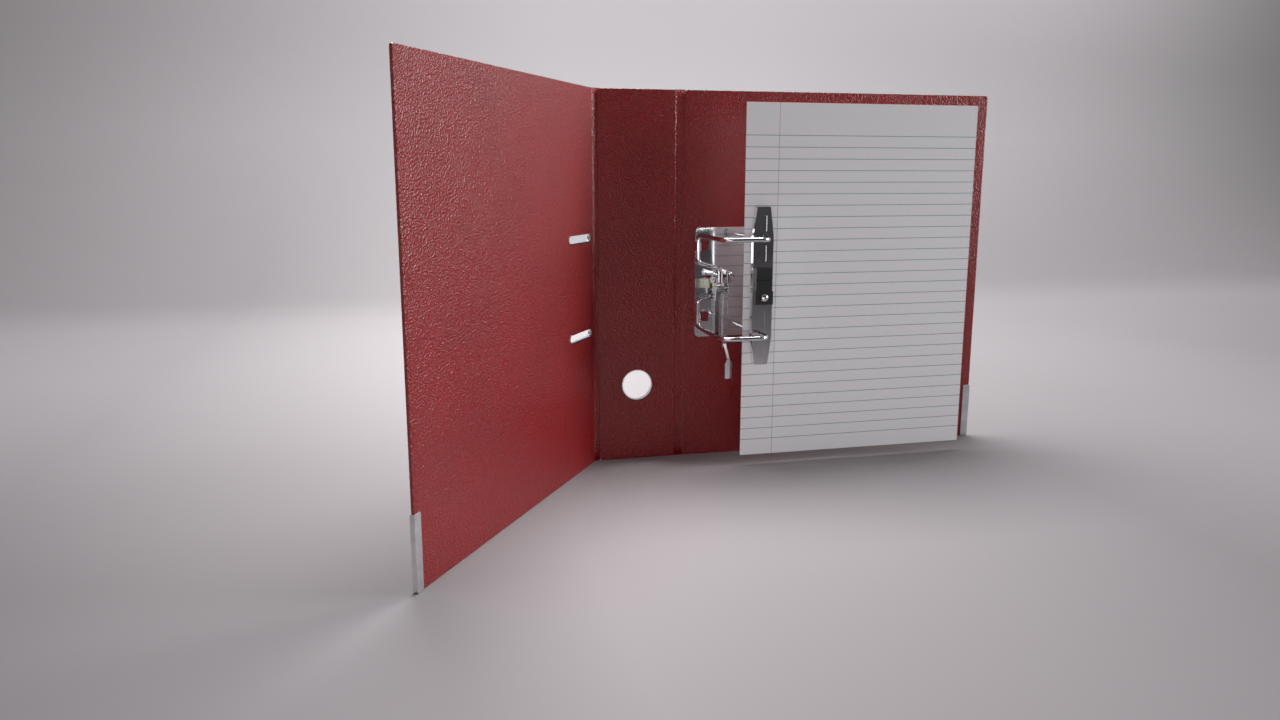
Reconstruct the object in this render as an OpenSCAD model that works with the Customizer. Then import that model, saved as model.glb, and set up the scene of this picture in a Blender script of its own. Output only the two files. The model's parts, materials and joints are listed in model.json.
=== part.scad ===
/* [Covers] */
// Height of the file
cover_h = 318; // [280:1:330]
// Width of a cover, from the middle of its hinge groove to its free edge
cover_w = 290; // [240:1:300]
// Width of the spine, from one hinge groove to the other
spine_w = 75.6; // [68:0.1:84]
// Thickness of a cover with its film
cover_t = 2.4; // [2:0.1:3.2]
// Thickness of the film
film_t = 0.3; // [0.2:0.1:0.5]
// Width of a hinge groove
groove_w = 7.6; // [6:0.1:10]
// How far the front cover is folded forward from flat
front_fold = 57.3; // [20:0.1:90]
// Height of a metal edge shoe
shoe_h = 50; // [20:1:70]

/* [Spine] */
// Diameter of the finger hole
finger_d = 25.2; // [20:0.1:32]
// Height of the finger hole's centre
finger_z = 66.8; // [40:0.1:90]
// Height of the label pocket
pocket_h = 190; // [120:1:200]
// Width of the label pocket
pocket_w = 58; // [40:1:62]
// Height of the label pocket's lower edge
pocket_z = 104; // [95:1:110]

/* [Slots] */
// Length of a slot in the front cover
slot_l = 44.3; // [43:0.1:50]
// Clear height of a slot
slot_h = 6; // [5.4:0.1:9]
// Distance from the hinge groove's middle to a slot
slot_start = 9.6; // [6:0.1:10]

/* [Mechanism] */
// Height of the mechanism's middle
mech_z = 156.5; // [140:0.1:170]
// Distance between the two arches
arch_gap = 80; // [70:1:108]
// Diameter of the arch wire
wire_d = 3.8; // [3:0.1:4]
// Distance from the back hinge to the arch wire's pivot line
pivot_x = 16; // [15:0.1:18]
// Distance from the pivot line to the fixed posts
arch_span = 40; // [38:0.1:42]
// Height of the arch wire's top line above the back cover
arch_top = 72.4; // [70:0.1:72.6]
// Height of the fixed posts above the back cover
post_top = 62; // [58:0.1:63]
// Reach of the crank from the pivot line
crank_reach = 21.6; // [20:0.1:22.5]

/* [Lever] */
// Distance from the lever's pin down to the tip of its tab
lever_l = 87.3; // [70:0.1:95]
// Width of the lever's arm
lever_w = 3.6; // [3:0.1:5]
// Width of the lever's neck, above its tab
neck_w = 2.4; // [2:0.1:3]

/* [Clamp] */
// Length of the compressor bar
bar_l = 131; // [120:1:150]
// Width of the compressor bar
bar_w = 17.5; // [14:0.1:20]
// Height of the compressor bar's face above the back cover
bar_face = 55; // [30:0.1:56]

/* [Paper] */
// Width of the sheet
sheet_w = 210; // [148:1:216]
// Height of the sheet
sheet_l = 297; // [210:1:300]
// Height of the sheet above the back cover
sheet_up = 41.5; // [5:0.1:42]

/* [Hidden] */
$fn = 48;

red = [0.42, 0.04, 0.07];
steel = [0.8, 0.81, 0.83];
gap = 0.3;                                  // air between pieces that pass each other
running = 0.05;                             // radial clearance of a shaft in its hole

board_t = cover_t - 2 * film_t;
hinge_y = cover_t / 2;                      // a hinge line is in the middle of the thickness
turn_in = 3;                                // the outer film's fold onto the inner face
panel_r = 2;                                // corner radius of a board in its film
shoe_t = 0.5;
sleeve_t = 0.5;                             // metal round the finger hole and the slots
flange_t = 0.3;
shoe_lap = 6.5;                             // width of the shoe's flange over the cover
shoe_out = cover_w + shoe_t;                // a shoe's outermost face
shoe_half = cover_t / 2 + shoe_t;

// the whole object's box, whose bottom centre is the origin
x_low = -spine_w - shoe_out * cos(front_fold) - shoe_half * sin(front_fold);
x_high = shoe_out;
y_low = hinge_y - shoe_out * sin(front_fold) - shoe_half * cos(front_fold);
y_high = cover_t + shoe_t;

wire_r = wire_d / 2;
pivot_h = 3.6;                              // height of the pivot line above the back cover
post_x = pivot_x + arch_span;
arch_r = 8;                                 // bend at the top of an arch
bend_r = 4;                                 // bend in the pivot line and in the crank
slope_x = 0.96;                             // the crank's slanted legs, a 7:24:25 triangle
slope_z = 0.28;
bend_turn = acos(slope_z);
setback = bend_r * (1 - slope_z) / slope_x; // from a crank corner to the end of its bend
crank_x = pivot_x + crank_reach;
crank_high = mech_z + 10;                   // ends of the crank's middle length
crank_low = mech_z - 9.5;
slant_drop = crank_reach * slope_z / slope_x;
slant_l = crank_reach / slope_x - 2 * setback;
post_z = [mech_z + arch_gap / 2, mech_z - arch_gap / 2];

plate_t = 1;
plate_x = 14;
plate_w = 53;
plate_l = 95.7;
plate_low = mech_z - 49;
lug_l = 7;
lug_z = [mech_z + 26.8, mech_z - 35.2];     // lower ends of the lugs that hold the wire
rivet_r = 0.9;
rivet_at = [[16.8, plate_low + 2.8], [16.8, plate_low + plate_l - 2.8],
  [63, plate_low + 4], [63, plate_low + plate_l - 4]];
tool_holes = [[16.2, mech_z + 9.8], [16.2, mech_z - 10.8]];

pin_z = mech_z + 4.5;                       // the lever's pin
pin_h = 14.1;
pin_r = 1.5;
roller_back = 9.4;                          // from the pin down to the roller
roller_drop = 5.4;                          // from the pin in to the roller
roller_z = pin_z - roller_back;
roller_h = pin_h - roller_drop;
roller_r = 2.9;
roller_pin_r = 1.2;
head_t = 0.6;                               // heads of the lever's rivets
ear_t = 1.3;
ear_x = [26, 41.3];
cheek_t = 1;
cheek_x = [27.9, 39.9];
lever_x = crank_x;
tab_w = 6.2;
tab_h = 26;
tab_t = 1.6;
tab_low = pin_z - lever_l;
tab_top = tab_low + 16;
knee = pin_z - 60;                          // height of the arm's bend

bar_t = 0.8;
bar_deep = 7;
bar_z = mech_z - bar_l / 2;
bar_taper = 23;
bar_tip = 11.5;
press_deep = 0.35;
post_hole_r = wire_r + 0.5;
sheet_t = 0.3;
sheet_x = post_x - 12;
sheet_z = mech_z - sheet_l / 2 + 0.8;

module place() {
  translate([-(x_low + x_high) / 2, -(y_low + y_high) / 2, 0]) children();
}

// the frame of the front cover: flat, hinged at its own groove, running towards -X
module front_place() {
  place() translate([-spine_w, hinge_y, 0]) rotate([0, 0, front_fold]) translate([0, -hinge_y, 0])
    children();
}

// x along the back cover, y up it, z out of its inner face
module on_cover() {
  place() rotate([90, 0, 0]) children();
}

// plate in the XZ plane, from y0 over a thickness t
module slab(x0, x1, z0, z1, y0, t, r = 0) {
  translate([0, y0 + t, 0]) rotate([90, 0, 0]) linear_extrude(t) panel(x0, x1, z0, z1, r);
}

module panel(x0, x1, z0, z1, r) {
  if (r <= 0) translate([x0, z0]) square([x1 - x0, z1 - z0]);
  else {
    translate([x0 + r, z0]) square([x1 - x0 - 2 * r, z1 - z0]);
    translate([x0, z0 + r]) square([x1 - x0, z1 - z0 - 2 * r]);
    for (x = [x0 + r, x1 - r], z = [z0 + r, z1 - r]) translate([x, z]) circle(r);
  }
}

module slot_shape(grow) {
  r = slot_h / 2;
  for (z = post_z)
    panel(-slot_start - slot_l - grow, -slot_start + grow, z - r - grow, z + r + grow, r + grow - 0.01);
}

// ---- the three panels: a board inside an outer film that turns in, and an inner film ----
module board(x0, x1) {
  color("burlywood") slab(x0 + film_t, x1 - film_t, film_t, cover_h - film_t, film_t, board_t, panel_r);
}

module outer_film(x0, x1) {
  color(red) difference() {
    slab(x0, x1, 0, cover_h, 0, cover_t, panel_r + film_t);
    slab(x0 + film_t, x1 - film_t, film_t, cover_h - film_t, film_t, board_t, panel_r);
    slab(x0 + turn_in, x1 - turn_in, turn_in, cover_h - turn_in, -1, 1 + film_t + 0.01);
  }
}

module inner_film(x0, x1) {
  color(red) slab(x0 + turn_in, x1 - turn_in, turn_in, cover_h - turn_in, 0, film_t);
}

module edge_shoe(x0) {
  color(steel) difference() {
    slab(x0 - shoe_lap, x0 + shoe_t, 0, shoe_h, -shoe_t, cover_t + 2 * shoe_t, 1.2);
    slab(x0 - shoe_lap - 1, x0, -1, shoe_h + 1, 0, cover_t);
  }
}

module back_board() { place() board(groove_w / 2, cover_w); }
module back_outer_skin() { place() outer_film(groove_w / 2, cover_w); }
module back_inner_skin() { place() inner_film(groove_w / 2, cover_w); }
module back_edge_shoe() { place() edge_shoe(cover_w); }

module spine_hole(r) {
  translate([-spine_w / 2, -1, finger_z]) rotate([-90, 0, 0]) cylinder(h = cover_t + 2, r = r, $fn = 72);
}

module spine_board() {
  color("burlywood") place() difference() {
    board(-spine_w + groove_w / 2, -groove_w / 2);
    spine_hole(finger_d / 2 + sleeve_t);
  }
}

module spine_outer_skin() {
  color(red) place() difference() {
    outer_film(-spine_w + groove_w / 2, -groove_w / 2);
    spine_hole(finger_d / 2 + sleeve_t);
  }
}

module spine_inner_skin() {
  color(red) place() difference() {
    inner_film(-spine_w + groove_w / 2, -groove_w / 2);
    spine_hole(finger_d / 2 + sleeve_t);
  }
}

// sleeve through the spine with a flange outside and a narrow curled rim inside
module finger_ring() {
  color(steel) place() translate([-spine_w / 2, 0, finger_z]) rotate([-90, 0, 0]) difference() {
    union() {
      translate([0, 0, -flange_t]) cylinder(h = flange_t, r = finger_d / 2 + 0.9, $fn = 72);
      cylinder(h = cover_t, r = finger_d / 2 + sleeve_t, $fn = 72);
      translate([0, 0, cover_t]) cylinder(h = 0.4, r = finger_d / 2 + 3, $fn = 72);
    }
    translate([0, 0, -1]) cylinder(h = cover_t + 3, r = finger_d / 2, $fn = 72);
  }
}

// clear pocket on the spine's outside, closed on three sides and open at the top
module label_pocket() {
  x0 = -spine_w / 2 - pocket_w / 2;
  seam = 1.5;
  color([0.9, 0.92, 0.95, 0.4]) place() difference() {
    slab(x0, x0 + pocket_w, pocket_z, pocket_z + pocket_h, cover_t, 0.5, seam);
    slab(x0 + seam, x0 + pocket_w - seam, pocket_z + seam, pocket_z + pocket_h + 1, cover_t - 0.1, 0.4);
  }
}

module label_card() {
  x0 = -spine_w / 2 - pocket_w / 2;
  color("white") place()
    slab(x0 + 2, x0 + pocket_w - 2, pocket_z + 2, pocket_z + pocket_h - 0.5, cover_t, 0.25);
}

// film across the groove behind the back cover, flat when the file lies open
module back_hinge_web() {
  color(red) place()
    slab(-groove_w / 2, groove_w / 2, film_t, cover_h - film_t, hinge_y - film_t, 2 * film_t);
}

// film across the front groove, bent round to meet both boards square on
module front_hinge_web() {
  web_r = groove_w / 2 / tan(front_fold / 2);
  color(red) place() translate([-spine_w + groove_w / 2, hinge_y - web_r, film_t])
    rotate([0, 0, 90]) rotate_extrude(angle = front_fold, $fn = 72)
      translate([web_r - film_t, 0]) square([2 * film_t, cover_h - 2 * film_t]);
}

module cut_slots(grow) {
  difference() {
    children();
    translate([0, cover_t + 1, 0]) rotate([90, 0, 0]) linear_extrude(cover_t + 2) slot_shape(grow);
  }
}

module front_board() {
  color("burlywood") front_place() cut_slots(sleeve_t) board(-cover_w, -groove_w / 2);
}

module front_outer_skin() {
  color(red) front_place() cut_slots(sleeve_t) outer_film(-cover_w, -groove_w / 2);
}

module front_inner_skin() {
  color(red) front_place() cut_slots(sleeve_t) inner_film(-cover_w, -groove_w / 2);
}

module front_edge_shoe() {
  front_place() mirror([1, 0, 0]) edge_shoe(cover_w);
}

// slab with the slot's outline grown by a margin, over a thickness t
module slot_ring(z, r, grow, y0, t) {
  slab(-slot_start - slot_l - grow, -slot_start + grow, z - r - grow, z + r + grow, y0, t, r + grow - 0.01);
}

// metal lining of one slot, with a flange on each face of the cover
module slot_eyelet(z) {
  r = slot_h / 2;
  wide = 1.2;
  color(steel) front_place() difference() {
    union() {
      slot_ring(z, r, sleeve_t, 0, cover_t);
      slot_ring(z, r, wide, -flange_t, flange_t);
      slot_ring(z, r, wide, cover_t, flange_t);
    }
    slot_ring(z, r, 0, -1, cover_t + 2);
  }
}

module upper_slot_eyelet() { slot_eyelet(post_z[0]); }
module lower_slot_eyelet() { slot_eyelet(post_z[1]); }

// ---- mechanism on the back cover ----
// strip of the plate curled round the wire
module wire_lug(z) {
  translate([pivot_x, z, pivot_h]) rotate([-90, 0, 0]) cylinder(h = lug_l, r = wire_r + 1);
  translate([pivot_x, z, plate_t - 0.5]) cube([3.4, lug_l, 1.2]);
}

module base_plate() {
  color(steel) on_cover() difference() {
    union() {
      linear_extrude(plate_t) panel(plate_x, plate_x + plate_w, plate_low, plate_low + plate_l, bend_r);
      for (z = lug_z) wire_lug(z);
      // pressed rib that stiffens the plate beside the lever
      translate([44.5, plate_low + 8, plate_t]) cube([2.4, 30, 0.6]);
    }
    for (z = lug_z) translate([pivot_x, z - 1, pivot_h]) rotate([-90, 0, 0])
      cylinder(h = lug_l + 2, r = wire_r + running);
    // the openings that the lugs were cut from
    for (z = lug_z) translate([19.4, z, -1]) cube([7.2, lug_l + 1.6, 3]);
    translate([20, mech_z + 2.9, -1]) cube([30, 2.2, 3]);
    for (at = concat(rivet_at, tool_holes)) translate([at.x, at.y, -1]) cylinder(h = 4, r = rivet_r);
    for (z = post_z) translate([post_x, z, -1]) cylinder(h = 4, r = wire_r);
  }
}

// four rivets through the plate and the cover, spread flush outside
module plate_rivets() {
  color(steel) on_cover() for (at = rivet_at) translate([at.x, at.y, 0]) {
    translate([0, 0, plate_t]) cylinder(h = 0.5, r1 = rivet_r + 0.4, r2 = rivet_r);
    cylinder(h = plate_t, r = rivet_r);
  }
}

module post(z) {
  color(steel) on_cover() translate([post_x, z, 0]) {
    cylinder(h = post_top - 1, r = wire_r);
    translate([0, 0, plate_t]) cylinder(h = 1, r = wire_r + 1.2);
    translate([0, 0, post_top - 1]) cylinder(h = 1, r1 = wire_r, r2 = wire_r - 0.5);
  }
}

module upper_post() { post(post_z[0]); }
module lower_post() { post(post_z[1]); }

// outline of an ear, in the plane across the pin: z along, height up
module ear_outline() {
  difference() {
    union() {
      translate([pin_z, pin_h]) circle(5);
      polygon([[pin_z + 0.8, plate_t], [pin_z + 5, plate_t], [pin_z + 5, pin_h], [pin_z - 5, pin_h],
        [pin_z - 5, 6.5], [pin_z + 0.8, 4.2]]);
    }
    translate([pin_z, pin_h]) circle(pin_r);
  }
}

// turns a drawing of (z, height) to stand across the cover, over a thickness t along x
module across(x, t) {
  translate([x, 0, 0]) rotate([90, 0, 90]) linear_extrude(t) children();
}

module lever_bracket() {
  color(steel) on_cover() {
    for (x = ear_x) across(x, ear_t) ear_outline();
    translate([ear_x[0] - 5.5, pin_z + 0.8, plate_t]) cube([5.5, 4.2, 1]);
    translate([ear_x[1] + ear_t, pin_z + 0.8, plate_t]) cube([5, 4.2, 1]);
  }
}

// two short rivets, so that the crank can rise between the lever's cheeks
module lever_pins() {
  reach = cheek_x[0] + cheek_t - ear_x[0];
  color(steel) on_cover() for (end = [0, 1])
    translate([end == 0 ? ear_x[0] : ear_x[1] + ear_t, pin_z, pin_h]) rotate([0, end == 0 ? 90 : -90, 0]) {
      cylinder(h = end == 0 ? reach : ear_x[1] + ear_t - cheek_x[1], r = pin_r);
      translate([0, 0, -head_t]) cylinder(h = head_t, r = pin_r + 0.9);
    }
}

// leaf from the plate's edge that pushes the crank up when the lever lets go of it
module opening_spring() {
  leaf = 0.35;
  color(steel) on_cover() translate([0, mech_z + 2.3, 0]) rotate([90, 0, 0]) linear_extrude(8.3)
    polygon([[plate_x + 0.5, plate_t], [20, plate_t], [25, 2.6], [29, 2.6], [34, plate_t],
      [39.5, plate_t], [39.5, plate_t + leaf], [34.1, plate_t + leaf], [29.1, 2.6 + leaf],
      [24.9, 2.6 + leaf], [19.9, plate_t + leaf], [plate_x + 0.5, plate_t + leaf]]);
}

module rod(l) { cylinder(h = l, r = wire_r); }

// one bend of the wire, in the XY plane round its centre
module bend(start, angle, radius) {
  rotate([0, 0, start]) rotate_extrude(angle = angle) translate([radius, 0]) circle(wire_r, $fn = 32);
}

// one arch: up from the pivot line, over, and down to the post's tip; side is +1 or -1
module arch(z, side) {
  leg = arch_top - arch_r - pivot_h - bend_r;
  translate([pivot_x, z, pivot_h + bend_r]) rod(leg);
  translate([pivot_x + arch_r, z, arch_top - arch_r]) rotate([90, 0, 0]) bend(90, 90, arch_r);
  translate([pivot_x + arch_r, z, arch_top]) rotate([0, 90, 0]) rod(arch_span - 2 * arch_r);
  translate([post_x - arch_r, z, arch_top - arch_r]) rotate([90, 0, 0]) bend(0, 90, arch_r);
  translate([post_x, z, post_top + gap]) rod(arch_top - arch_r - post_top - gap);
  translate([pivot_x, z - side * bend_r, pivot_h + bend_r]) rotate([90, 0, 90])
    bend(side > 0 ? 270 : 180, 90, bend_r);
}

// half of the crank, drawn upwards from its middle
module half_crank(z, arch_z) {
  translate([crank_x - bend_r, z - setback, 0]) bend(0, bend_turn, bend_r);
  translate([crank_x - setback * slope_x, z + setback * slope_z, 0])
    rotate([0, 0, 180 - asin(slope_z)]) rotate([0, 90, 0]) rod(slant_l);
  translate([pivot_x + bend_r, z + slant_drop + setback, 0]) bend(180, bend_turn, bend_r);
  translate([pivot_x, z + slant_drop + setback, 0]) rotate([-90, 0, 0])
    rod(arch_z - bend_r - z - slant_drop - setback);
}

module arch_wire() {
  color(steel) on_cover() {
    arch(post_z[0], 1);
    arch(post_z[1], -1);
    translate([0, 0, pivot_h]) {
      half_crank(crank_high, post_z[0]);
      translate([0, 2 * mech_z, 0]) mirror([0, 1, 0])
        half_crank(2 * mech_z - crank_low, post_z[0]);
      translate([crank_x, crank_low + setback, 0]) rotate([-90, 0, 0])
        rod(crank_high - crank_low - 2 * setback);
    }
  }
}

// outline of a cheek of the lever, round the pin and the roller's axle
module cheek_outline() {
  difference() {
    hull() {
      translate([pin_z, pin_h]) circle(4);
      translate([roller_z, roller_h]) circle(2.2);
      translate([pin_z - 20, pin_h - 2.5]) circle(2);
    }
    translate([pin_z, pin_h]) circle(pin_r + running);
    translate([roller_z, roller_h]) circle(roller_pin_r);
  }
}

// arm of the lever from its head down to the knee, seen from the side
module arm_outline() {
  polygon([[pin_z - 14.5, 10.4], [knee, 10.6], [knee - 2, 11.8], [knee + 1.5, 14], [pin_z - 14.5, 15.4]]);
}

// neck from the knee down into the tab, seen from the side
module neck_outline() {
  polygon([[knee + 2, 10.6], [knee, 10.6], [tab_top, 22.6], [tab_low + 1, tab_h - tab_t],
    [tab_low + 1, tab_h], [tab_top + 1, tab_h], [knee + 1.5, 14], [knee + 2, 14]]);
}

// tab for the thumb, with a pointed shoulder and a pressed slot
module lever_tab() {
  shoulder = tab_top - 2.5;
  difference() {
    translate([lever_x, 0, tab_h - tab_t]) linear_extrude(tab_t)
      polygon([[-tab_w / 2, tab_low + 0.5], [-tab_w / 2 + 0.5, tab_low], [tab_w / 2 - 0.5, tab_low],
        [tab_w / 2, tab_low + 0.5], [tab_w / 2, shoulder], [neck_w / 2, tab_top + 0.4],
        [-neck_w / 2, tab_top + 0.4], [-tab_w / 2, shoulder]]);
    translate([lever_x - 0.9, tab_low + 5, tab_h - 0.4]) cube([1.8, 4, 1]);
  }
}

module lever() {
  head_w = cheek_x[1] + cheek_t - cheek_x[0];
  color(steel) on_cover() {
    for (x = cheek_x) across(x, cheek_t) cheek_outline();
    across(cheek_x[0], head_w) polygon([[pin_z - 21, 10.3], [pin_z - 14.5, 10.3],
      [pin_z - 14.5, 13.4], [pin_z - 21, 13.4]]);
    across(lever_x - lever_w / 2, lever_w) arm_outline();
    across(lever_x - neck_w / 2, neck_w) neck_outline();
    lever_tab();
  }
}

module roller_pin() {
  color(steel) on_cover() translate([cheek_x[0] - 0.5, roller_z, roller_h]) rotate([0, 90, 0])
    cylinder(h = cheek_x[1] + cheek_t - cheek_x[0] + 1, r = roller_pin_r);
}

module lever_roller() {
  color(steel) on_cover() translate([cheek_x[0] + cheek_t + gap, roller_z, roller_h])
    rotate([0, 90, 0]) difference() {
      cylinder(h = cheek_x[1] - cheek_x[0] - cheek_t - 2 * gap, r = roller_r);
      translate([0, 0, -1]) cylinder(h = 20, r = roller_pin_r + running);
    }
}

// ---- clamp that slides on the posts ----
// outline of the bar: straight, then narrower towards both ends; inset shrinks it
module bar_outline(inset) {
  w = bar_w / 2 - inset;
  tip = bar_tip / 2 - inset;
  a = bar_z + inset;
  b = bar_z + bar_l - inset;
  translate([post_x, 0]) polygon([[-tip, a], [tip, a], [w, a + bar_taper], [w, b - bar_taper],
    [tip, b], [-tip, b], [-w, b - bar_taper], [-w, a + bar_taper]]);
}

module compressor_bar() {
  color(steel) on_cover() difference() {
    translate([0, 0, bar_face - bar_deep]) linear_extrude(bar_deep) bar_outline(0);
    translate([0, 0, bar_face - bar_deep - 1]) linear_extrude(bar_deep + 1 - bar_t) bar_outline(bar_t);
    for (z = post_z) translate([post_x, z, 0]) cylinder(h = bar_face + 1, r = post_hole_r);
    translate([post_x - 2.2, mech_z - 3, bar_face - 2]) cube([4.4, 12, 4]);
    // pressed channels between the thumb piece and the posts, and beyond them
    for (side = [-1, 1], from = [21, 45.5])
      translate([post_x - 2.6, mech_z + side * (from + 6.5) - 6.5, bar_face - press_deep])
        cube([5.2, 13, 1]);
    for (z = post_z) translate([post_x, z, bar_face - press_deep]) difference() {
      cylinder(h = 1, r = post_hole_r + 2.2);
      translate([0, 0, -1]) cylinder(h = 3, r = post_hole_r + 1.4);
    }
  }
}

// black thumb piece, with a wide foot and a narrow upper part split by a seam
module lock_slider() {
  color([0.05, 0.05, 0.055]) on_cover() translate([post_x, mech_z, bar_face + gap]) difference() {
    union() {
      translate([-7.6, -14.3, 0]) cube([15.2, 11, 5]);
      translate([-6.9, -3.3, 0]) cube([13.8, 19, 4.2]);
      translate([-2, -1, -gap - bar_t - 0.3]) cube([4, 5, 2]);
    }
    translate([-7, 5.6, 3.6]) cube([14, 0.8, 1]);
    translate([0, -8.6, 3.4]) cylinder(h = 3, r = 3.6);
  }
}

module lock_rivet() {
  color(steel) on_cover() translate([post_x, mech_z - 8.6, bar_face + gap + 3.4]) {
    cylinder(h = 1.8, r = 3.4);
    translate([0, 0, 1.8]) intersection() {
      translate([0, 0, -2.2]) sphere(4.05);
      cylinder(h = 3, r = 3.4);
    }
  }
}

// strip inside the bar whose long holes grip the posts as the thumb piece slides
module lock_plate() {
  color(steel) on_cover() translate([post_x, mech_z, bar_face - bar_t - 1.1]) difference() {
    translate([-4.5, -46, 0]) cube([9, 92, 0.8]);
    for (z = [-1, 1]) for (step = [-1, 4.5]) translate([0, z * arch_gap / 2 - step, -1])
      cylinder(h = 3, r = post_hole_r);
    for (z = [-1, 1]) translate([-post_hole_r, z * arch_gap / 2 - 4.5, -1])
      cube([2 * post_hole_r, 5.5, 3]);
  }
}

// long leaf inside the bar that holds the strip up, with its ends against the bar
module lock_spring() {
  high = bar_face - bar_t;
  low = high - 1.8;
  half = 53;
  color(steel) on_cover() difference() {
    across(post_x - 4, 8) translate([mech_z, 0]) polygon([[-half, high], [-half + 3, low],
      [half - 3, low], [half, high], [half, high - 0.3], [half - 3, low - 0.3],
      [-half + 3, low - 0.3], [-half, high - 0.3]]);
    for (z = post_z) translate([post_x, z, 0]) cylinder(h = bar_face, r = post_hole_r);
  }
}

// ---- paper on the posts ----
module lined_sheet() {
  color("white") on_cover() translate([0, 0, sheet_up - sheet_t]) linear_extrude(sheet_t)
    difference() {
      translate([sheet_x, sheet_z]) square([sheet_w, sheet_l]);
      for (z = post_z) translate([post_x, z]) circle(3);
    }
}

back_board();
back_outer_skin();
back_inner_skin();
back_edge_shoe();
base_plate();
plate_rivets();
upper_post();
lower_post();
lever_bracket();
lever_pins();
opening_spring();
spine_board();
spine_outer_skin();
spine_inner_skin();
finger_ring();
label_pocket();
label_card();
back_hinge_web();
front_board();
front_outer_skin();
front_inner_skin();
front_edge_shoe();
upper_slot_eyelet();
lower_slot_eyelet();
front_hinge_web();
arch_wire();
lever();
roller_pin();
lever_roller();
compressor_bar();
lock_slider();
lock_plate();
lock_rivet();
lock_spring();
lined_sheet();
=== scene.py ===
"""Looks of the lever arch file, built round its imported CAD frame."""

import json
import math

import bpy
from mathutils import Matrix, Vector


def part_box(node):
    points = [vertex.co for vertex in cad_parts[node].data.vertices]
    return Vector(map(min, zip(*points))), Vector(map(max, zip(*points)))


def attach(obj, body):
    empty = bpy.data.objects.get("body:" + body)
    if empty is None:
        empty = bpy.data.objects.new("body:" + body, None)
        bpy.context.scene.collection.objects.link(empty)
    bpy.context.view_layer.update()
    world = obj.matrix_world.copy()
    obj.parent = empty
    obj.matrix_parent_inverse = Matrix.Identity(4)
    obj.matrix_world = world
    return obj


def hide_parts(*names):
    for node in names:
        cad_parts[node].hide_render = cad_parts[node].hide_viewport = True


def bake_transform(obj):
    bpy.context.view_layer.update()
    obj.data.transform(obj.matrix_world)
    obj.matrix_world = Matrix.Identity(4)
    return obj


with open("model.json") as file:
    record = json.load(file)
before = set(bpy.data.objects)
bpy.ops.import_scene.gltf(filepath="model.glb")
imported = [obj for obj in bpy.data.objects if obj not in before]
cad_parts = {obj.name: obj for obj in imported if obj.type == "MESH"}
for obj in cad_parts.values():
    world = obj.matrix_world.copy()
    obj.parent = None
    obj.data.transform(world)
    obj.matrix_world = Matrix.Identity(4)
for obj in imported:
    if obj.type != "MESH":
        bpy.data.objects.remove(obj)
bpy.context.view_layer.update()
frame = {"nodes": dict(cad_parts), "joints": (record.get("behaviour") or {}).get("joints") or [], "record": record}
MM = 0.001
JOINTS = {joint["name"]: joint for joint in frame["joints"]}


# ---------------------------------------------------------------- materials
class Nodes:
    """Short ways to add nodes to a material's or a world's node tree."""

    def __init__(self, tree):
        self.tree = tree

    def add(self, kind, options=(), **inputs):
        node = self.tree.nodes.new(kind)
        for option, value in dict(options).items():
            setattr(node, option, value)
        for socket, value in inputs.items():
            self.set(node.inputs[socket.replace("_", " ")], value)
        return node

    def set(self, socket, value):
        if isinstance(value, bpy.types.NodeSocket):
            self.tree.links.new(value, socket)
        else:
            socket.default_value = value

    def math(self, operation, a, b=0.0):
        node = self.add("ShaderNodeMath", {"operation": operation})
        self.set(node.inputs[0], a)
        self.set(node.inputs[1], b)
        return node.outputs[0]

    def away(self, value, middle):
        """How far value is from middle, on either side."""
        return self.math("ABSOLUTE", self.math("SUBTRACT", value, middle))

    def axes(self, place):
        return self.add("ShaderNodeSeparateXYZ", Vector=place).outputs

    def ramp(self, value, low, high, out_low=0.0, out_high=1.0):
        limits = {"From_Min": low, "From_Max": high, "To_Min": out_low, "To_Max": out_high}
        return self.add("ShaderNodeMapRange", Value=value, **limits).outputs[0]

    def mix(self, share, a, b):
        node = self.add("ShaderNodeMix", {"data_type": "RGBA"})
        self.set(node.inputs[0], share)
        for socket, value in ((node.inputs[6], a), (node.inputs[7], b)):
            self.set(socket, value if isinstance(value, bpy.types.NodeSocket) else (*value, 1.0))
        return node.outputs[2]


class Shader(Nodes):
    """A Principled material with the textures it uses, in the object's coordinates."""

    def __init__(self, name, **settings):
        self.material = bpy.data.materials.new(name)
        self.material.use_nodes = True
        super().__init__(self.material.node_tree)
        self.surface = self.tree.nodes["Principled BSDF"]
        for socket, value in settings.items():
            self.surface.inputs[socket.replace("_", " ")].default_value = value
        self.place = self.add("ShaderNodeTexCoord").outputs["Object"]

    def stretched(self, scale):
        """The object's coordinates, scaled by a different amount along each axis."""
        return self.add("ShaderNodeMapping", Vector=self.place, Scale=scale).outputs[0]

    def noise(self, scale, detail=3.0, roughness=0.5, place=None):
        place = self.place if place is None else place
        node = self.add("ShaderNodeTexNoise", Vector=place, Scale=scale, Detail=detail, Roughness=roughness)
        return node.outputs["Fac"]

    def cells(self, scale):
        """Distance from the middle of soft-edged cells."""
        node = self.add("ShaderNodeTexVoronoi", {"feature": "SMOOTH_F1"}, Vector=self.place, Scale=scale)
        self.set(node.inputs["Smoothness"], 0.6)
        return node.outputs["Distance"]

    def colour(self, value):
        self.set(self.surface.inputs["Base Color"], value)

    def rough(self, value):
        self.set(self.surface.inputs["Roughness"], value)

    def bump(self, height, depth, strength=1.0):
        node = self.add("ShaderNodeBump", Height=height, Distance=depth, Strength=strength)
        old = self.surface.inputs["Normal"].links
        if old:
            self.tree.links.new(old[0].from_socket, node.inputs["Normal"])
        self.tree.links.new(node.outputs[0], self.surface.inputs["Normal"])


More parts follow.
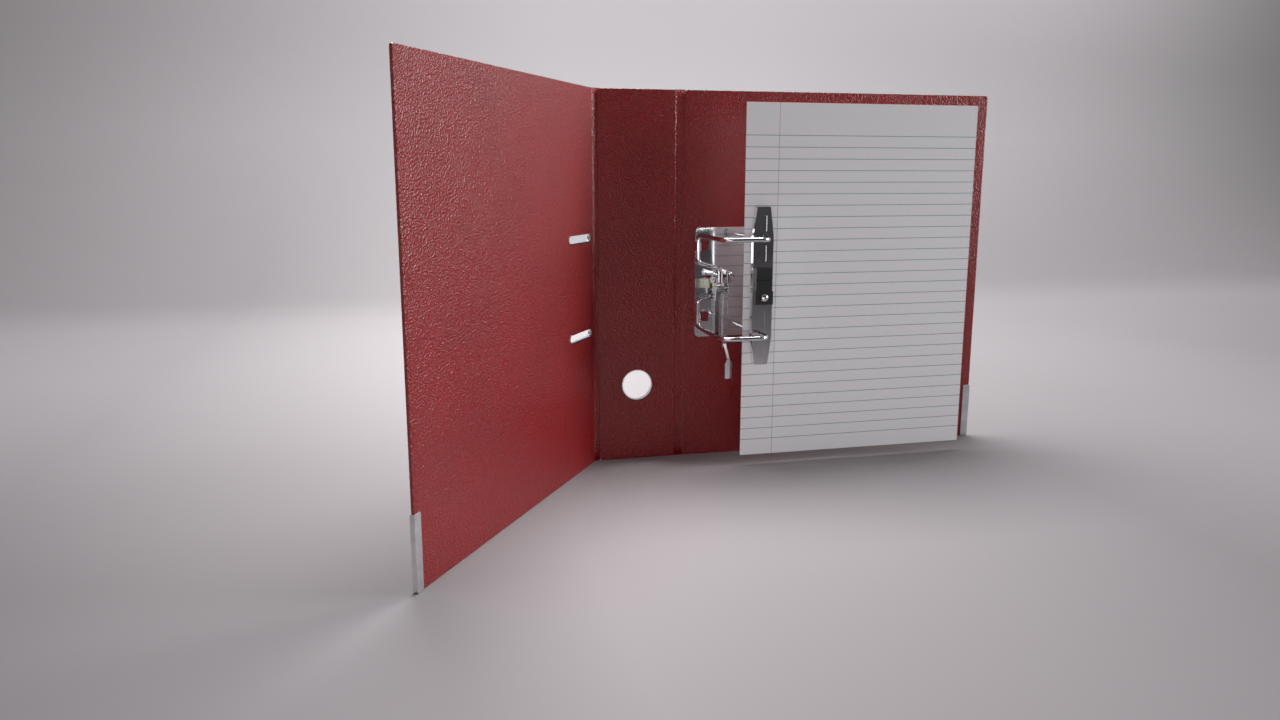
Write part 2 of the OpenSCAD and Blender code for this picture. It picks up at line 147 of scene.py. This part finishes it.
def red_film():
    """Embossed plastic film: fine pebble grain with a dull shine."""
    film = Shader("red_film", Specular_IOR_Level=0.62)
    cloud = film.noise(18.0, 4.0)
    fine = film.noise(900.0, 2.0)
    base = film.mix(film.ramp(cloud, 0.3, 0.7), (0.25, 0.002, 0.0035), (0.305, 0.003, 0.006))
    film.colour(film.mix(film.ramp(fine, 0.35, 0.7, 0.0, 0.55), base, (0.13, 0.0015, 0.0025)))
    film.rough(film.ramp(fine, 0.3, 0.7, 0.26, 0.42))
    film.bump(film.cells(780.0), 0.7 * MM, 0.75)
    film.bump(fine, 0.06 * MM, 0.5)
    return film.material


def cardboard():
    board = Shader("cardboard", Roughness=0.9)
    fibres = board.noise(60.0, 8.0, 0.7, board.stretched((1.0, 1.0, 6.0)))
    board.colour(board.mix(fibres, (0.30, 0.22, 0.14), (0.48, 0.37, 0.25)))
    board.bump(fibres, 0.1 * MM, 0.5)
    return board.material


def chrome(name, tint, roughness, wave):
    """Bright plating with faint wipe marks, and a slow wave that bends its reflections."""
    metal = Shader(name, Metallic=1.0)
    marks = metal.noise(900.0, 3.0, 0.6, metal.stretched((1.0, 1.0, 0.04)))
    haze = metal.noise(60.0, 4.0)
    metal.colour(metal.mix(metal.ramp(haze, 0.35, 0.7), tint, [0.9 * part for part in tint]))
    metal.rough(metal.ramp(marks, 0.35, 0.7, roughness, roughness + 0.07))
    metal.bump(metal.noise(22.0, 1.0), wave, 0.6)
    metal.bump(marks, 0.004 * MM, 0.5)
    return metal.material


def drawn_steel(name, tint, roughness, along):
    """Rolled or turned steel with fine lines; along is the line direction's stretch."""
    metal = Shader(name, Metallic=1.0)
    lines = metal.noise(1400.0, 4.0, 0.65, metal.stretched(along))
    spots = metal.noise(140.0, 5.0)
    metal.colour(metal.mix(metal.ramp(spots, 0.4, 0.75), tint, [0.82 * part for part in tint]))
    metal.rough(metal.ramp(lines, 0.3, 0.75, roughness, roughness + 0.16))
    metal.bump(lines, 0.02 * MM, 0.6)
    return metal.material


def black_plastic():
    plastic = Shader("black_plastic", Specular_IOR_Level=0.5)
    grain = plastic.noise(2600.0, 3.0)
    plastic.colour(plastic.mix(plastic.noise(90.0), (0.012, 0.012, 0.013), (0.03, 0.03, 0.032)))
    plastic.rough(plastic.ramp(grain, 0.3, 0.7, 0.32, 0.5))
    plastic.bump(grain, 0.03 * MM, 0.5)
    return plastic.material


def clear_plastic():
    clear = Shader("clear_plastic", Base_Color=(0.9, 0.92, 0.94, 1.0), Alpha=0.22)
    clear.rough(clear.ramp(clear.noise(240.0, 4.0), 0.3, 0.75, 0.06, 0.2))
    clear.bump(clear.noise(35.0, 2.0), 0.2 * MM, 0.4)
    return clear.material


def paper(name, tint, sheet=None):
    """Paper with faint fibres; sheet gives the low and high corners of a ruled sheet."""
    stock = Shader(name, Roughness=0.82, Specular_IOR_Level=0.25)
    fibres = stock.noise(700.0, 6.0, 0.7)
    colour = stock.mix(stock.ramp(fibres, 0.3, 0.75), tint, [0.95 * part for part in tint])
    if sheet:
        low, high = sheet
        axes = stock.axes(stock.place)
        pitch, half_line = 9.52 * MM, 0.25 * MM
        first_rule, last_rule = high.z - 26.2 * MM, low.z + 5 * MM
        margin = low.x + 29.0 * MM
        down = stock.math("SUBTRACT", first_rule, axes["Z"])
        step = stock.math("DIVIDE", down, pitch)
        line = stock.math("LESS_THAN", stock.away(step, stock.math("ROUND", step)), half_line / pitch)
        line = stock.math("MULTIPLY", line, stock.math("GREATER_THAN", down, -half_line))
        line = stock.math("MULTIPLY", line, stock.math("GREATER_THAN", axes["Z"], last_rule))
        ink = stock.ramp(stock.noise(400.0, 2.0), 0.3, 0.7, 0.75, 0.95)
        colour = stock.mix(stock.math("MULTIPLY", line, ink), colour, (0.09, 0.23, 0.29))
        rule = stock.math("LESS_THAN", stock.away(axes["X"], margin), half_line)
        colour = stock.mix(stock.math("MULTIPLY", rule, 0.7), colour, (0.40, 0.18, 0.46))
    stock.colour(colour)
    stock.bump(fibres, 0.03 * MM, 0.4)
    return stock.material


MATERIALS = {
    "red_film": red_film(),
    "cardboard": cardboard(),
    "chrome": chrome("chrome", (0.80, 0.80, 0.82), 0.05, 0.6 * MM),
    "shoe_steel": drawn_steel("shoe_steel", (0.74, 0.74, 0.76), 0.26, (1.0, 1.0, 0.03)),
    "pin_steel": drawn_steel("pin_steel", (0.62, 0.62, 0.64), 0.2, (0.05, 1.0, 1.0)),
    "spring_steel": drawn_steel("spring_steel", (0.43, 0.42, 0.36), 0.24, (0.03, 1.0, 1.0)),
    "black_plastic": black_plastic(),
    "clear_plastic": clear_plastic(),
    "label_paper": paper("label_paper", (0.8, 0.8, 0.78)),
    "sheet_paper": paper("sheet_paper", (0.88, 0.875, 0.895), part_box("lined_sheet")),
}


# ------------------------------------------------- CAD nodes and new pieces
# millimetres of bevel on the edges of each node; the rest keep sharp edges
BEVELS = {
    "base_plate": 0.25, "compressor_bar": 0.35, "lever": 0.3, "lever_bracket": 0.25,
    "back_edge_shoe": 0.2, "front_edge_shoe": 0.2, "lock_slider": 0.5, "lock_plate": 0.12,
    "upper_slot_eyelet": 0.12, "lower_slot_eyelet": 0.12, "finger_ring": 0.12,
    "label_pocket": 0.1, "opening_spring": 0.08, "lock_spring": 0.08, "lever_roller": 0.25,
    "plate_rivets": 0.12, "lever_pins": 0.15,
}


def soften(piece, width):
    """Rounded edges that catch the light, and smooth shading over curves."""
    for face in piece.data.polygons:
        face.use_smooth = True
    piece.modifiers.new("weld", "WELD").merge_threshold = 0.002 * MM
    flat = piece.modifiers.new("flat_faces", "DECIMATE")
    flat.decimate_type = "DISSOLVE"
    flat.angle_limit = math.radians(0.3)
    if width:
        bevel = piece.modifiers.new("bevel", "BEVEL")
        bevel.width = width * MM
        bevel.segments = 2
        bevel.limit_method = "ANGLE"
        bevel.angle_limit = math.radians(35)
    split = piece.modifiers.new("split", "EDGE_SPLIT")
    split.split_angle = math.radians(42)
    piece.modifiers.new("normals", "WEIGHTED_NORMAL")


def dress_cad_nodes():
    """Each CAD node gets its material, and smooth shading in place of its packed normals."""
    for part in frame["record"]["subparts"]:
        piece = frame["nodes"][part["node"]]
        piece.data.materials.clear()
        piece.data.materials.append(MATERIALS[part["material_slot"]])
        custom = piece.data.attributes.get("custom_normal")
        if custom:
            piece.data.attributes.remove(custom)
        soften(piece, BEVELS.get(part["node"], 0))


def new_piece(name, mesh, body, slot, *nodes):
    """A piece that rides on a body, or on none if it bends between two, and replaces CAD nodes."""
    piece = bpy.data.objects.new(name, mesh)
    bpy.context.scene.collection.objects.link(piece)
    mesh.materials.clear()
    mesh.materials.append(MATERIALS[slot])
    if body:
        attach(piece, body)
    if nodes:
        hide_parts(*nodes)
    return piece


def arc(centre, radius, start, stop, steps):
    angles = [math.radians(start + (stop - start) * i / steps) for i in range(steps + 1)]
    return [(centre[0] + radius * math.cos(a), centre[1] + radius * math.sin(a)) for a in angles]


def round_box(low, high, radius, steps=8):
    """Outline of a rectangle with round corners, anticlockwise."""
    points = []
    corners = ((high[0], low[1], -90), (high[0], high[1], 0), (low[0], high[1], 90), (low[0], low[1], 180))
    for x, y, start in corners:
        centre = (x + math.copysign(radius, low[0] + high[0] - 2 * x),
                  y + math.copysign(radius, low[1] + high[1] - 2 * y))
        points += arc(centre, radius, start, start + 90, steps)
    return points


def rounded_plate(name, outlines, thickness, edge, place):
    """Mesh of a plate with rounded edges; outlines are already inset by the edge's radius."""
    curve = bpy.data.curves.new(name, "CURVE")
    curve.dimensions = "2D"
    curve.fill_mode = "BOTH"
    curve.extrude = thickness / 2 - edge
    curve.bevel_depth = edge
    curve.bevel_resolution = 3
    for outline in outlines:
        spline = curve.splines.new("POLY")
        spline.points.add(len(outline) - 1)
        for point, (x, y) in zip(spline.points, outline):
            point.co = (x, y, 0, 1)
        spline.use_cyclic_u = True
    maker = bpy.data.objects.new(name + "_maker", curve)
    bpy.context.scene.collection.objects.link(maker)
    bpy.context.view_layer.update()
    mesh = bpy.data.meshes.new_from_object(maker.evaluated_get(bpy.context.evaluated_depsgraph_get()))
    bpy.data.objects.remove(maker)
    mesh.transform(place)
    for face in mesh.polygons:
        face.use_smooth = True
    return mesh


# the plane of the covers: drawings in x and z, thickness along y
UPRIGHT = Matrix.Rotation(math.radians(90), 4, "X")
BACK_LINE = Vector(JOINTS["back_hinge"]["pos_m"])
FRONT_LINE = Vector(JOINTS["front_hinge"]["pos_m"])
FOLD = math.radians(JOINTS["front_hinge"]["range_deg"][1])
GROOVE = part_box("back_hinge_web")[1].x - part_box("back_hinge_web")[0].x
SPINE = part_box("spine_outer_skin")
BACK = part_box("back_outer_skin")
THICK = BACK[1].y - BACK[0].y
HEIGHT = BACK[1].z - BACK[0].z
COVER_W = BACK[1].x - BACK_LINE.x
EDGE = 0.9 * MM                 # radius of the film's turned edge
CORNER = 1.4 * MM               # radius of a panel's corners
LINER_INSET = 3.4 * MM          # from a panel's edge to its liner's
LINER_CORNER = 1.5 * MM
LINER_T = 0.16 * MM             # the liner's thickness
LINER_EDGE = LINER_T / 3
LINER_PROUD = 0.07 * MM         # the film stops this far under the liner's face
RING_FLANGE = 2.4 * MM          # the finger ring laps over the film this far
EYELET_LAP_X = 0.7 * MM         # a slot's lining laps over the film this far at its ends
EYELET_LAP_Z = 1.0 * MM         # and above and below it
GROOVE_LAP = 0.5 * MM           # a groove's film runs this far under the panels' film
GROOVE_HALF_T = 0.32 * MM       # half the film's thickness in the middle of a groove
GROOVE_RISE = 0.6 * MM          # and what that gains towards the panels


def front_place():
    """From the flat front cover to its place at rest."""
    line = Vector((FRONT_LINE.x, FRONT_LINE.y, 0))
    return Matrix.Translation(line) @ Matrix.Rotation(FOLD, 4, "Z") @ Matrix.Translation(-line)


def cover_panel(name, x_low, x_high, holes, body, nodes, extra=Matrix.Identity(4)):
    """One covered board: film with rounded edges, and the liner a little proud of it inside."""
    outlines = [round_box((x_low + EDGE, EDGE), (x_high - EDGE, HEIGHT - EDGE), CORNER)]
    outlines += [hole(EDGE) for hole in holes]
    place = extra @ Matrix.Translation((0, BACK_LINE.y + LINER_PROUD / 2, 0)) @ UPRIGHT
    mesh = rounded_plate(name, outlines, THICK - LINER_PROUD, EDGE, place)
    film = new_piece(name, mesh, body, "red_film", *nodes)
    film.modifiers.new("normals", "WEIGHTED_NORMAL")
    inset = LINER_INSET + LINER_EDGE
    outlines = [round_box((x_low + inset, inset), (x_high - inset, HEIGHT - inset), LINER_CORNER)]
    outlines += [hole(LINER_EDGE) for hole in holes]
    place = extra @ Matrix.Translation((0, BACK_LINE.y - THICK / 2 + LINER_T / 2, 0)) @ UPRIGHT
    mesh = rounded_plate(name + "_liner", outlines, LINER_T, LINER_EDGE, place)
    new_piece(name + "_liner", mesh, body, "red_film")


def slot_hole(z):
    """The cut for one slot's lining in the flat front cover."""
    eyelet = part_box("upper_slot_eyelet")
    half = (eyelet[1].z - eyelet[0].z) / 2 - EYELET_LAP_Z
    flatten = front_place().inverted()
    lining = [(flatten @ vertex.co).x for vertex in frame["nodes"]["upper_slot_eyelet"].data.vertices]
    x_low, x_high = min(lining) + EYELET_LAP_X, max(lining) - EYELET_LAP_X
    hair = 0.01 * MM            # keeps the round ends' last points apart

    def outline(grow):
        box = ((x_low - grow, z - half - grow), (x_high + grow, z + half + grow))
        return list(reversed(round_box(*box, half + grow - hair, 12)))
    return outline


def round_hole(node):
    """The cut under a ring's flange, one step short of a turn, which the outline then closes."""
    low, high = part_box(node)
    centre = ((low.x + high.x) / 2, (low.z + high.z) / 2)
    radius = (high.x - low.x) / 2 - RING_FLANGE
    return lambda grow: list(reversed(arc(centre, radius + grow, 0, 354, 59)))


def groove_mesh(name, bend_at):
    """Film across a groove, dipped in the middle on both faces; bend_at maps a flat point."""
    across, up = 16, 40
    half = GROOVE / 2 + GROOVE_LAP
    vertices, faces = [], []
    for j in range(up + 1):
        z = HEIGHT * j / up
        ring = []
        for side in (-1, 1):
            for i in range(across + 1):
                t = 2 * (i if side < 0 else across - i) / across - 1
                y = side * (GROOVE_HALF_T + GROOVE_RISE * abs(t) ** 8)
                ring.append(bend_at(t * half, y, z))
        vertices += ring
    count = 2 * (across + 1)
    for j in range(up):
        for i in range(count):
            a, b = j * count + i, j * count + (i + 1) % count
            faces.append((a, b, b + count, a + count))
    for start in (0, up * count):
        for i in range(across):
            quad = (start + i, start + i + 1, start + count - 2 - i, start + count - 1 - i)
            faces.append(quad if start else quad[::-1])
    mesh = bpy.data.meshes.new(name)
    mesh.from_pydata(vertices, [], faces)
    for face in mesh.polygons:
        face.use_smooth = True
    return mesh


def straight(x, y, z):
    """Across the back groove, whose panels lie in line."""
    return (BACK_LINE.x + x, BACK_LINE.y + y, z)


def folded(x, y, z):
    """Round the bend of the front groove, and straight on past its ends."""
    half = GROOVE / 2
    radius = half / math.tan(FOLD / 2)
    inside = max(-half, min(half, x))
    turn = FOLD * (half - inside) / GROOVE
    point = Matrix.Rotation(turn, 3, "Z") @ Vector((x - inside, y + radius, 0))
    return (FRONT_LINE.x + half + point.x, FRONT_LINE.y - radius + point.y, z)


def grooves():
    mesh = groove_mesh("back_groove_film", straight)
    back = new_piece("back_groove_film", mesh, None, "red_film", "back_hinge_web")
    mesh = groove_mesh("front_groove_film", folded)
    front = new_piece("front_groove_film", mesh, None, "red_film", "front_hinge_web")
    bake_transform(back)
    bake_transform(front)


def covers():
    cover_panel("back_cover_film", BACK[0].x, BACK[1].x, [], "back_cover",
                ("back_outer_skin", "back_inner_skin"))
    cover_panel("spine_film", SPINE[0].x, SPINE[1].x, [round_hole("finger_ring")], "spine",
                ("spine_outer_skin", "spine_inner_skin"))
    slots = [slot_hole(sum(corner.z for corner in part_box(node)) / 2)
             for node in ("upper_slot_eyelet", "lower_slot_eyelet")]
    inner = FRONT_LINE.x - GROOVE / 2
    cover_panel("front_cover_film", FRONT_LINE.x - COVER_W, inner, slots, "front_cover",
                ("front_outer_skin", "front_inner_skin"), front_place())


# ------------------------------------------------------------------- stage
def studio():
    """Pale floor that curves up into a wall, with a painted pool of light: brightest behind the file and darker to
    the sides.
    """
    front, depth, width, rise, radius = -3.2, 1.9, 7.0, 3.4, 0.6
    below = 0.2 * MM
    profile = [(front, 0.0), *arc((depth - radius, radius), radius, -90, 0, 16), (depth, rise)]
    vertices = [(x, y, z - below) for x in (-width / 2, width / 2) for y, z in profile]
    count = len(profile)
    faces = [(i, i + count, i + count + 1, i + 1) for i in range(count - 1)]
    mesh = bpy.data.meshes.new("studio_floor")
    mesh.from_pydata(vertices, [], faces)
    for face in mesh.polygons:
        face.use_smooth = True
    floor = bpy.data.objects.new("studio_floor", mesh)
    bpy.context.scene.collection.objects.link(floor)
    pale = Shader("studio_floor", Roughness=0.75, Specular_IOR_Level=0.2)
    axes = pale.axes(pale.place)
    # painted light: the floor and wall colours brighten behind the file and round its middle, and darken towards
    # the sides
    behind = pale.ramp(axes["Y"], -0.4, 1.0)
    middle = pale.mix(behind, (0.290, 0.266, 0.279), (0.50, 0.472, 0.486))
    side = pale.mix(behind, (0.118, 0.109, 0.114), (0.370, 0.348, 0.360))
    floor_painted_light = pale.mix(pale.ramp(pale.away(axes["X"], -0.15), 0.0, 0.42), middle, side)
    wall_side = pale.ramp(pale.away(axes["X"], 0.4), 0.3, 2.0)
    wall_painted_light = pale.mix(wall_side, (0.535, 0.51, 0.526), (0.39, 0.372, 0.384))
    colour = pale.mix(pale.ramp(axes["Z"], 0.0, 0.35), floor_painted_light, wall_painted_light)
    mottle = pale.ramp(pale.noise(1.5, 2.0), 0.3, 0.7, 0.0, 0.06)
    pale.colour(pale.mix(mottle, colour, (0.6, 0.58, 0.59)))
    mesh.materials.append(pale.material)


def surroundings():
    """World light that is dark in front of the file, bright round it and softer overhead."""
    world = bpy.data.worlds.new("studio")
    world.use_nodes = True
    nodes = Nodes(world.node_tree)
    background = nodes.tree.nodes["Background"]
    background.inputs["Color"].default_value = (0.98, 0.96, 0.99, 1.0)
    axes = nodes.axes(nodes.add("ShaderNodeTexCoord").outputs["Generated"])
    round_file = nodes.ramp(axes["Y"], -0.75, 0.1, 0.06, 0.8)
    overhead = nodes.ramp(axes["Z"], 0.15, 0.9, 1.0, 0.35)
    nodes.set(background.inputs["Strength"], nodes.math("MULTIPLY", round_file, overhead))
    bpy.context.scene.world = world


def area_light(name, place, aim, size, power, spread=180):
    """A soft box of that size and power in watts, whose spread in degrees narrows its beam."""
    light = bpy.data.lights.new(name, "AREA")
    light.spread = math.radians(spread)
    light.shape = "RECTANGLE"
    light.size, light.size_y = size
    light.energy = power
    lamp = bpy.data.objects.new(name, light)
    lamp.location = place
    lamp.rotation_euler = (Vector(aim) - Vector(place)).to_track_quat("-Z", "Y").to_euler()
    bpy.context.scene.collection.objects.link(lamp)


def lights():
    area_light("over_and_behind", (0.08, 0.47, 1.35), (0.08, 0.62, 0.0), (0.9, 0.66), 35)
    area_light("right_side", (1.3, -0.22, 0.5), (-0.2, -0.02, 0.16), (0.6, 0.5), 2.8, spread=80)
    area_light("front_fill", (-0.7, -1.5, 0.15), (0.0, 0.0, 0.05), (1.6, 0.3), 4.6)
    area_light("wall_wash", (1.7, 0.9, 1.5), (1.0, 2.5, 0.7), (0.8, 0.8), 14)


def camera():
    """The photograph's view, from the left of the file and a little above it."""
    turned, tilted = math.radians(13.53), math.radians(10.94)
    lens = bpy.data.cameras.new("camera")
    lens.sensor_width = 36.0
    lens.lens = 26.88
    lens.clip_start = 0.01
    view = bpy.data.objects.new("camera", lens)
    view.location = (BACK_LINE.x - 0.2271, BACK_LINE.y - 0.7992, 0.2473)
    view.rotation_euler = (math.radians(90) - tilted, 0.0, -turned)
    bpy.context.scene.collection.objects.link(view)
    bpy.context.scene.camera = view


camera()
studio()
surroundings()
lights()
dress_cad_nodes()
covers()
grooves()
bpy.context.scene.view_settings.view_transform = "Standard"
